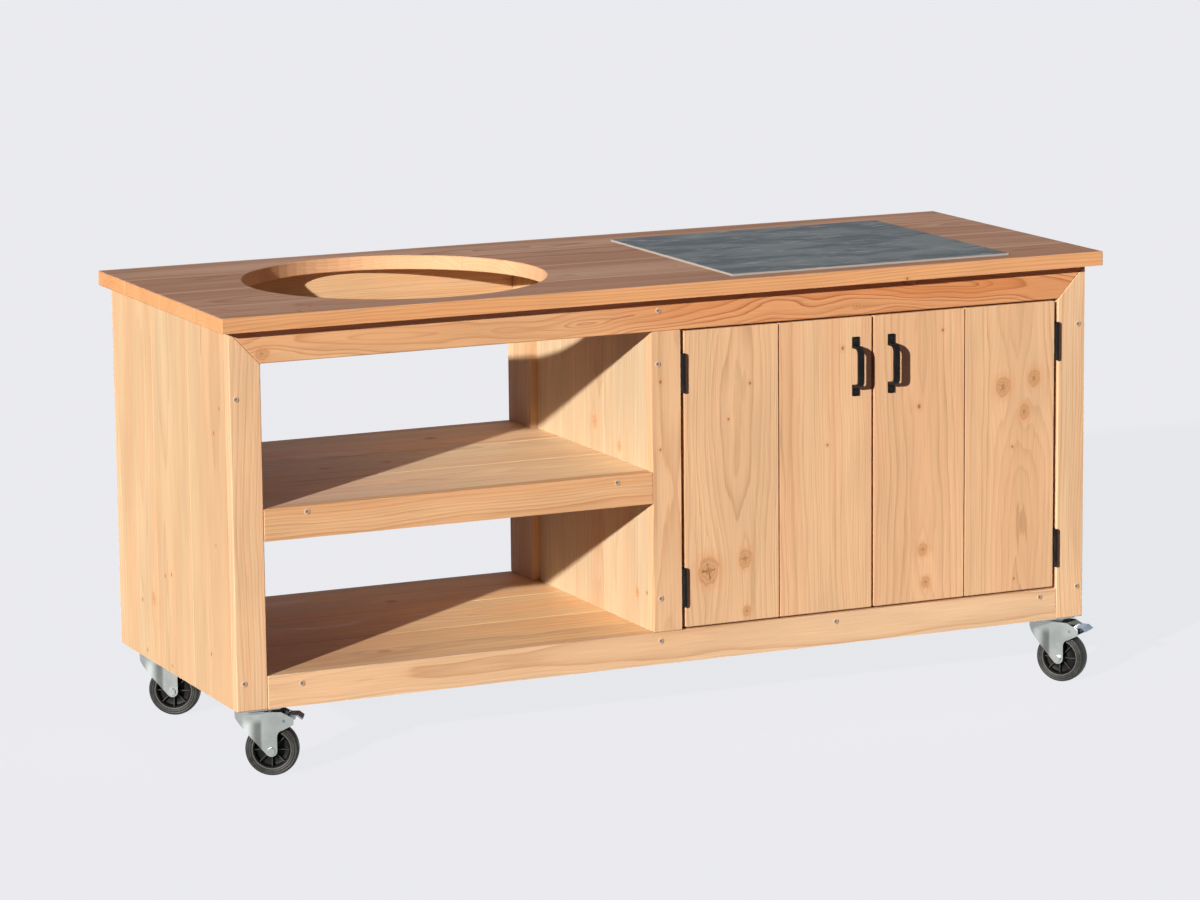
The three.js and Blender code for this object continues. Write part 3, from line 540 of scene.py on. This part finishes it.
SLATE_DARK = (0.092, 0.116, 0.136, 1)
SLATE_LIGHT = (0.182, 0.214, 0.228, 1)
SLATE_SCUFF = (0.44, 0.47, 0.45, 1)
SLATE_SIDE = (0.37, 0.335, 0.295, 1)
SLATE_RELIEF = 0.12 * MM
COAT_RELIEF = 0.12 * MM
PLASTIC_RELIEF = 0.05 * MM
RUBBER_RELIEF = 0.1 * MM


def stone():
    """Slate, with clouds and short scuffs on its face and pale sawn sides."""
    made, g = material("slate")
    place = g.parts(g.place())
    cloud = g.noise(g.vector(g.times(place[0], 4.0), g.times(place[1], 12.0), 0.0), 1.0, 5.0, 0.62)
    grit = g.noise(g.place(), 900.0, 2.0)
    scuff = g.noise(g.vector(g.times(place[0], 15.0), g.times(place[1], 120.0), 2.0), 1.0, 4.0, 0.65)
    where = g.noise(g.vector(g.times(place[0], 9.0), g.times(place[1], 14.0), 5.0), 1.0, 1.0)
    color = g.mix(g.ramp(cloud["Fac"], 0.43, 0.58), SLATE_DARK, SLATE_LIGHT)
    mark = g.times(g.ramp(scuff["Fac"], 0.53, 0.62), g.ramp(where["Fac"], 0.42, 0.55))
    color = g.mix(g.times(mark, 0.6), color, SLATE_SCUFF)
    color = g.mix(g.upward(0.5, 0.9), SLATE_SIDE, color)
    roughness = g.ramp(cloud["Fac"], 0.3, 0.7, 0.65, 0.69)
    g.surface(color, roughness, g.bump(grit["Fac"], SLATE_RELIEF, 0.5), Specular_IOR_Level=0.12)
    return made


def powder_coat():
    made, g = material("black_powder_coat")
    pebble = g.noise(g.place(), 1400.0, 2.0)
    dust = g.noise(g.place(), 45.0, 3.0)
    color = g.mix(g.ramp(dust["Fac"], 0.45, 0.75), (0.004, 0.004, 0.005, 1), (0.010, 0.010, 0.010, 1))
    roughness = g.ramp(dust["Fac"], 0.3, 0.7, 0.36, 0.46)
    g.surface(color, roughness, g.bump(pebble["Fac"], COAT_RELIEF, 0.5), Specular_IOR_Level=0.16)
    return made


ZINC_DARK = (0.41, 0.44, 0.415, 1)
ZINC_LIGHT = (0.47, 0.50, 0.475, 1)
# Reaches from a fork's axle towards its swivel of the painted reflection on its bend: a dark band, a bright
# glint, and where the glint fades. The bands are full below CROWN_UNDER and fade out across it.
PAINTED_REFLECTION_DARK = (15 * MM, 21 * MM)
PAINTED_REFLECTION_BRIGHT = (26 * MM, 45 * MM)
PAINTED_REFLECTION_FADE = (48 * MM, 57 * MM)
CROWN_UNDER = (98 * MM, 114 * MM)


def joint(name):
    """A joint of the record, with its place and axis."""
    return next(item for item in frame["record"]["behaviour"]["joints"] if item["name"] == name)


def plate(g, dark, light, shade=None):
    """Bright metal plating with a soft bloom. shade, where given, is a painted reflection that multiplies its
    colour.
    """
    bloom = g.noise(g.place(), 26.0, 3.0)["Fac"]
    color = g.mix(g.ramp(bloom, 0.3, 0.7), dark, light)
    if shade is not None:
        color = g.tint(color, shade)
    g.surface(color, g.ramp(bloom, 0.3, 0.7, 0.21, 0.27), metallic=0.92)


def fork_zinc_painted_reflection(place):
    """Zinc on a fork, whose sheet is bent round its front: a dark and a bright band of painted reflection run
    down the bend.
    """
    axle, swivel = (Vector(joint(f"caster_{place}_{kind}")["pos_m"]) for kind in ("axle", "swivel"))
    ahead = Vector((swivel.x - axle.x, swivel.y - axle.y)).normalized()
    made, g = material(f"zinc_fork_painted_reflection_{place}")
    spot = g.parts(g.place())
    reach = g.add(g.times(g.subtract(spot[0], axle.x), ahead.x),
                  g.times(g.subtract(spot[1], axle.y), ahead.y))
    # Painted reflection: the colour goes darker, then brighter, then back across the front of the fork.
    band = g.add(g.ramp(reach, *PAINTED_REFLECTION_DARK, 0.0, -0.55), g.ramp(reach, *PAINTED_REFLECTION_BRIGHT, 0.0, 0.95))
    band = g.add(band, g.ramp(reach, *PAINTED_REFLECTION_FADE, 0.0, -0.45))
    shade = g.add(1.0, g.times(band, g.ramp(spot[2], *CROWN_UNDER, 1.0, 0.0)))
    plate(g, ZINC_DARK, ZINC_LIGHT, shade)
    return made


def zinc(name="zinc_plate", dark=ZINC_DARK, light=ZINC_LIGHT):
    made, g = material(name)
    plate(g, dark, light)
    return made


def blue_zinc():
    """The brake levers are passivated blue."""
    return zinc("blue_zinc", (0.20, 0.25, 0.33, 1), (0.30, 0.35, 0.43, 1))


def speckled(name, scale, dark, light, roughness, **values):
    """A plain finish with a fine speckle."""
    made, g = material(name)
    g.surface(g.mix(g.noise(g.place(), scale)["Fac"], dark, light), roughness, **values)
    return made


def steel():
    return speckled("screw_steel", 700.0, (0.24, 0.235, 0.225, 1), (0.34, 0.33, 0.315, 1), 0.45, metallic=0.4)


def cut_wood():
    return speckled("cut_wood", 600.0, (0.60, 0.37, 0.20, 1), (0.70, 0.46, 0.27, 1), 0.7,
                    Specular_IOR_Level=0.2)


def plastic():
    made, g = material("black_plastic")
    grain = g.noise(g.place(), 800.0, 2.0)
    color = g.mix(grain["Fac"], (0.004, 0.004, 0.004, 1), (0.008, 0.008, 0.007, 1))
    g.surface(color, 0.45, g.bump(grain["Fac"], PLASTIC_RELIEF, 0.4), Specular_IOR_Level=0.1)
    return made


# Dark brown for the star recess of a screw: painted shade.
def painted_recess_shade():
    return speckled("screw_recess_painted_shade", 500.0, (0.055, 0.028, 0.014, 1), (0.09, 0.045, 0.022, 1), 0.8)


def grey_plastic():
    """The bead of a rim, where the tyre meets it, drawn light grey as a painted highlight ring."""
    return speckled("bead_highlight_plastic", 500.0, (0.06, 0.062, 0.058, 1), (0.13, 0.13, 0.125, 1), 0.4,
                    Specular_IOR_Level=0.3)


def rubber():
    made, g = material("black_rubber")
    dust = g.noise(g.place(), 70.0, 4.0, 0.6)
    grain = g.noise(g.place(), 1100.0, 2.0)
    color = g.mix(g.ramp(dust["Fac"], 0.40, 0.70), (0.013, 0.0135, 0.012, 1), (0.034, 0.035, 0.031, 1))
    roughness = g.ramp(dust["Fac"], 0.3, 0.7, 0.42, 0.6)
    g.surface(color, roughness, g.bump(grain["Fac"], RUBBER_RELIEF, 0.5), Specular_IOR_Level=0.35)
    return made


def give(finish, name):
    """Makes a material the only one of a CAD node."""
    nodes[name].data.materials.clear()
    nodes[name].data.materials.append(finish)


SHARP_ANGLE = math.radians(34)
WELD_REACH = 0.005 * MM


def smooth_group():
    """A modifier's nodes: curved faces are shaded smooth, and edges over SHARP_ANGLE stay sharp."""
    tree = bpy.data.node_groups.new("smooth_by_angle", "GeometryNodeTree")
    for way in ("INPUT", "OUTPUT"):
        tree.interface.new_socket("Geometry", in_out=way, socket_type="NodeSocketGeometry")
    g = Graph(tree)
    weld = g.node("GeometryNodeMergeByDistance")
    weld.inputs["Distance"].default_value = WELD_REACH
    g.feed(weld.inputs["Geometry"], g.node("NodeGroupInput").outputs[0])
    faces = g.node("GeometryNodeSetShadeSmooth", domain="FACE")
    g.feed(faces.inputs["Geometry"], weld.outputs[0])
    gentle = g.node("FunctionNodeCompare", data_type="FLOAT", operation="LESS_THAN")
    g.feed(gentle.inputs[0], g.node("GeometryNodeInputMeshEdgeAngle").outputs["Unsigned Angle"])
    gentle.inputs[1].default_value = SHARP_ANGLE
    edges = g.node("GeometryNodeSetShadeSmooth", domain="EDGE")
    g.feed(edges.inputs["Geometry"], faces.outputs[0])
    g.feed(edges.inputs["Shade Smooth"], gentle.outputs[0])
    g.feed(g.node("NodeGroupOutput").inputs[0], edges.outputs[0])
    return tree


ARRIS = 1.1 * MM
ARRIS_ANGLE = math.radians(60)


def round_arrises(*names):
    """Rounds the edges of boards a little, as a plane leaves them."""
    for name in names:
        made = nodes[name].modifiers.new("arris", "BEVEL")
        made.width = ARRIS
        made.segments = 2
        made.limit_method = "ANGLE"
        made.angle_limit = ARRIS_ANGLE


def dress_fittings(finishes):
    give(stone(), "stone_plate")
    smooth = smooth_group()
    for name in nodes:
        if "hinge" in name or "handle" in name:
            finish = finishes["black"]
        elif name.endswith("lever"):
            finish = finishes["blue"]
        elif name.endswith("fork"):
            finish = fork_zinc_painted_reflection(name.removeprefix("caster_").removesuffix("_fork"))
        elif name.startswith("caster"):
            finish = finishes["zinc"]
        else:
            continue
        give(finish, name)
        nodes[name].modifiers.new("smooth", "NODES").node_group = smooth


# Pieces made here: mesh tools

DOUBLES_REACH = 0.001 * MM


class Form:
    """A mesh under construction, with one material number per face."""

    def __init__(self, *finishes):
        self.mesh = bmesh.new()
        self.finishes = finishes

    def face(self, points, finish):
        """One flat face."""
        made = self.mesh.faces.new([self.mesh.verts.new(point) for point in points])
        made.material_index = finish
        made.smooth = False

    def lathe(self, profile, steps, where, finish=0):
        """Turns (radius, height) points about Z."""
        turns = [2 * math.pi * step / steps for step in range(steps)]
        rings = []
        for radius, height in profile:
            rings.append([self.mesh.verts.new(where @ Vector((
                radius * math.cos(turn), radius * math.sin(turn), height,
            ))) for turn in (turns if radius else turns[:1])])
        for low, high in zip(rings, rings[1:]):
            for step in range(steps):
                after = (step + 1) % steps
                corners = (low[step % len(low)], low[after % len(low)],
                           high[after % len(high)], high[step % len(high)])
                kept = list(dict.fromkeys(corners))
                if len(kept) > 2:
                    made = self.mesh.faces.new(kept)
                    made.material_index = finish
                    made.smooth = True

    def block(self, low, high, where):
        """A box between two corners, in the first finish."""
        corners = itertools.product(*zip(low, high))
        verts = [self.mesh.verts.new(where @ Vector(corner)) for corner in corners]
        for loop in ((0, 1, 3, 2), (4, 6, 7, 5), (0, 4, 5, 1), (2, 3, 7, 6), (0, 2, 6, 4), (1, 5, 7, 3)):
            self.mesh.faces.new([verts[index] for index in loop]).smooth = False

    def finish(self, name, body):
        bmesh.ops.remove_doubles(self.mesh, verts=self.mesh.verts, dist=DOUBLES_REACH)
        bmesh.ops.recalc_face_normals(self.mesh, faces=self.mesh.faces)
        mesh = bpy.data.meshes.new(name)
        self.mesh.to_mesh(mesh)
        self.mesh.free()
        for finish in self.finishes:
            mesh.materials.append(finish)
        made = bpy.data.objects.new(name, mesh)
        bpy.context.scene.collection.objects.link(made)
        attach(made, body)
        return made


def aimed(place, direction):
    """A matrix that takes Z to a direction and the origin to a place."""
    return Matrix.Translation(place) @ Vector(direction).to_track_quat("Z", "Y").to_matrix().to_4x4()


# Screws

SCREW_HEAD = 4.1 * MM
SCREW_PROUD = 0.8 * MM
SCREW_LIFT = 0.03 * MM
SCREW_STAR = 1.7 * MM
STAR_POINTS = 6
STAR_WAIST = 0.68
SCREW_STEPS = 20
SINK_RADIUS = 5.4 * MM
SINK_LIFT = 0.02 * MM
SUNK_HEAD = 3.7 * MM
SUNK_HEAD_LIFT = 0.1 * MM
SUNK_HEAD_DISH = 0.05 * MM
SUNK_STAR_LIFT = 0.12 * MM
HANDLE_SCREW_INSET = 8 * MM
HANDLE_SCREW_SCALE = 0.72
HANDLE_FOOT = 3 * MM

# Screws of the front frame on each member, as (right of its middle, up from its foot) in millimetres
FRONT_SCREWS = {
    "front_stile_left": [(-18, 580), (-15, 52)],
    "front_mid_stile": [(-18, 517), (-15, 65)],
    "front_stile_right": [(15, 589), (17, 62)],
    "front_top_rail": [(-35, 39)],
    "shelf_front_strip": [(-308, 49), (317, 47)],
    "front_bottom_rail": [(-765, 42), (-34, 45), (341, 45), (795, 48)],
}


def star(form, where, height, finish):
    """The star recess of a screw: a flat star face, whose dark finish is painted shade."""
    points = [(SCREW_STAR * (1.0 if point % 2 else STAR_WAIST), point * math.pi / STAR_POINTS)
              for point in range(2 * STAR_POINTS)]
    form.face([where @ Vector((radius * math.cos(angle), radius * math.sin(angle), height))
               for radius, angle in points], finish)


def screw(form, where):
    """A pan head with a dished star recess. Finishes: metal, hole (the painted shade of the recess)."""
    form.lathe([
        (SCREW_HEAD, SCREW_LIFT), (SCREW_HEAD, SCREW_PROUD * 0.7), (0.9 * SCREW_HEAD, SCREW_PROUD),
        (1.15 * SCREW_STAR, 0.25 * SCREW_PROUD), (0, 0.25 * SCREW_PROUD),
    ], SCREW_STEPS, where)
    star(form, where, 0.3 * SCREW_PROUD, 1)


def sunk_screw(form, where):
    """A head in a shallow dish of cut wood, whose rim stands SCREW_PROUD above the face.

    Finishes: metal, hole (the painted shade of the star recess), cut wood.
    """
    form.lathe([(SINK_RADIUS, SINK_LIFT), (SINK_RADIUS, SCREW_PROUD), (SUNK_HEAD, SUNK_HEAD_LIFT)],
               SCREW_STEPS, where, 2)
    form.lathe([(SUNK_HEAD, SUNK_HEAD_LIFT), (1.3 * SCREW_STAR, SUNK_HEAD_DISH), (0, SUNK_HEAD_DISH)],
               SCREW_STEPS, where)
    star(form, where, SUNK_STAR_LIFT, 1)


def front_screws(finishes):
    """The screws of the front frame, on each member's front face."""
    form = Form(finishes["steel"], finishes["hole"], finishes["cut_wood"])
    for member, places in FRONT_SCREWS.items():
        low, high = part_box(member)
        for aside, up in places:
            place = Vector(((low[0] + high[0]) / 2 + aside * MM, low[1], low[2] + up * MM))
            sunk_screw(form, aimed(place, (0, -1, 0)))
    made = form.finish("front_screws", "table")


def handle_screws(side, finishes):
    """One screw in each foot of a handle."""
    low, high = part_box(f"door_{side}_handle")
    form = Form(finishes["black"], finishes["hole"])
    x = (low[0] + high[0]) / 2
    for z in (low[2] + HANDLE_SCREW_INSET, high[2] - HANDLE_SCREW_INSET):
        where = aimed(Vector((x, high[1] - HANDLE_FOOT, z)), (0, -1, 0))
        screw(form, where @ Matrix.Scale(HANDLE_SCREW_SCALE, 4))
    made = form.finish(f"door_{side}_handle_screws", f"door_{side}")


# Wheels

# Half profiles as (radius, height) in millimetres, from the middle plane of the wheel outwards
TYRE = [(37.4, 14.4), (38.4, 14.4), (39.0, 15.6), (41.6, 16.0), (42.6, 15.3), (43.0, 14.3), (43.6, 14.3),
        (44.2, 15.3), (46.2, 14.8), (48.2, 13.2), (49.4, 10.4), (49.9, 6.5), (50.0, 3.0)]
BEAD = [(35.0, 14.0), (35.5, 15.4), (36.4, 15.9), (37.1, 15.4), (37.4, 14.4)]
RIM = [(35.0, 14.0), (32.6, 14.0), (32.2, 13.4), (31.6, 3.2), (30.4, 2.5), (12.4, 2.5), (11.4, 3.2),
       (11.0, 20.0), (10.4, 21.0), (5.6, 21.0)]
RIB_COUNT = 8
RIB_HALF = 0.9 * MM
RIB_RISE = 11 * MM
RIB_REACH = (10 * MM, 32.4 * MM)
WHEEL_STEPS = 96


def wheel(place, finishes):
    """A rubber tyre with ringed walls on a ribbed plastic rim, whose bead and ribs are drawn lighter as
    painted highlight. It replaces the faceted wheel.
    """
    axle = joint(f"caster_{place}_axle")
    where = aimed(Vector(axle["pos_m"]), axle["axis"])
    form = Form(finishes["rubber"], finishes["plastic"], finishes["bead_highlight"])
    sides = [[[(radius * MM, side * height * MM) for radius, height in profile] for side in (1, -1)]
             for profile in (TYRE, RIM, BEAD)]
    outer, inner = sides[0]
    form.lathe(outer + inner[::-1], WHEEL_STEPS, where)
    for finish in (1, 2):
        for half in sides[finish]:
            form.lathe(half, WHEEL_STEPS, where, finish)
    # The ribs take the rubber, lighter than the rim's black plastic: painted highlight on their edges.
    for rib in range(RIB_COUNT):
        turned = where @ Matrix.Rotation(2 * math.pi * rib / RIB_COUNT, 4, "Z")
        form.block((RIB_REACH[0], -RIB_HALF, -RIB_RISE), (RIB_REACH[1], RIB_HALF, RIB_RISE), turned)
    made = form.finish(f"wheel_{place}", f"wheel_{place}")
    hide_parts(f"caster_{place}_wheel")


# Floor, light and camera

def build_floor():
    mesh = bpy.data.meshes.new("floor")
    shape = bmesh.new()
    corners = [(-1, -1), (1, -1), (1, 1), (-1, 1)]
    shape.faces.new([shape.verts.new((FLOOR_HALF * x, FLOOR_HALF * y, -FLOOR_DROP)) for x, y in corners])
    shape.to_mesh(mesh)
    shape.free()
    floor = bpy.data.objects.new("floor", mesh)
    bpy.context.scene.collection.objects.link(floor)
    made, g = material("floor_paint")
    lit = g.node("ShaderNodeBsdfDiffuse")
    lit.inputs[0].default_value = FLOOR_TINT
    glow = g.node("ShaderNodeEmission")
    glow.inputs[0].default_value = FLOOR_PALE
    glow.inputs[1].default_value = FLOOR_LIFT
    g.blend(g.times(g.seen(), FLOOR_GLOW), lit, glow, "ShaderNodeOutputMaterial")
    mesh.materials.append(made)


def lamp(name, travel, strength, angle, tint, glossy=True):
    light = bpy.data.lights.new(name, "SUN")
    light.energy = strength
    light.angle = angle
    light.color = tint
    made = bpy.data.objects.new(name, light)
    made.rotation_euler = travel.to_track_quat("-Z", "Y").to_euler()
    made.visible_glossy = glossy
    bpy.context.scene.collection.objects.link(made)


def build_light():
    world = bpy.data.worlds.new("sky")
    bpy.context.scene.world = world
    world.use_nodes = True
    world.node_tree.nodes.clear()
    g = Graph(world.node_tree)
    sky = g.node("ShaderNodeBackground")
    sky.inputs[0].default_value = SKY_TINT
    toward = g.parts(g.node("ShaderNodeTexCoord").outputs["Generated"])
    behind = g.ramp(toward[1], -1.0, 1.0, SKY_FRONT, SKY_BACK, soft=False)
    g.feed(sky.inputs[1], g.add(behind, g.ramp(toward[2], 0.2, 1.0, 0.0, SKY_OVERHEAD)))
    backdrop = g.node("ShaderNodeBackground")
    backdrop.inputs[0].default_value = PALE
    g.blend(g.seen(), sky, backdrop, "ShaderNodeOutputWorld")

    sun = Vector((math.sin(SUN_AZIMUTH), math.cos(SUN_AZIMUTH), -math.tan(SUN_HEIGHT)))
    lamp("sun", sun, SUN_STRENGTH, SUN_ANGLE, SUN_TINT)
    lamp("fill", FILL_TRAVEL, FILL_STRENGTH, FILL_ANGLE, (1, 1, 1), glossy=False)


def build_camera():
    flat = math.cos(CAMERA_PITCH)
    ahead = Vector((math.sin(CAMERA_YAW) * flat, math.cos(CAMERA_YAW) * flat, -math.sin(CAMERA_PITCH)))
    level = Vector((math.cos(CAMERA_YAW), -math.sin(CAMERA_YAW), 0))
    lift = level.cross(ahead)
    right = math.cos(CAMERA_ROLL) * level + math.sin(CAMERA_ROLL) * lift
    up = -math.sin(CAMERA_ROLL) * level + math.cos(CAMERA_ROLL) * lift
    camera = bpy.data.objects.new("camera", bpy.data.cameras.new("camera"))
    turned = Matrix((right, up, -ahead)).transposed().to_4x4()
    camera.matrix_world = Matrix.Translation(CAMERA_PLACE) @ turned
    camera.data.lens = CAMERA_LENS
    camera.data.shift_x, camera.data.shift_y = CAMERA_SHIFT
    camera.data.clip_end = CAMERA_FAR
    bpy.context.scene.collection.objects.link(camera)
    bpy.context.scene.camera = camera


dress_top()
dress_frames()
dress_panels()
dress_doors()
round_arrises(*(name for name in nodes if name.startswith("door_") and "_board_" in name))
FINISHES = {
    "black": powder_coat(), "zinc": zinc(), "blue": blue_zinc(), "steel": steel(), "cut_wood": cut_wood(),
    "rubber": rubber(), "plastic": plastic(), "bead_highlight": grey_plastic(), "hole": painted_recess_shade(),
}
dress_fittings(FINISHES)
front_screws(FINISHES)
for side in ("left", "right"):
    handle_screws(side, FINISHES)
for place in ("front_left", "front_right", "back_left", "back_right"):
    wheel(place, FINISHES)
build_floor()
build_light()
build_camera()
bpy.context.scene.view_settings.view_transform = "Standard"
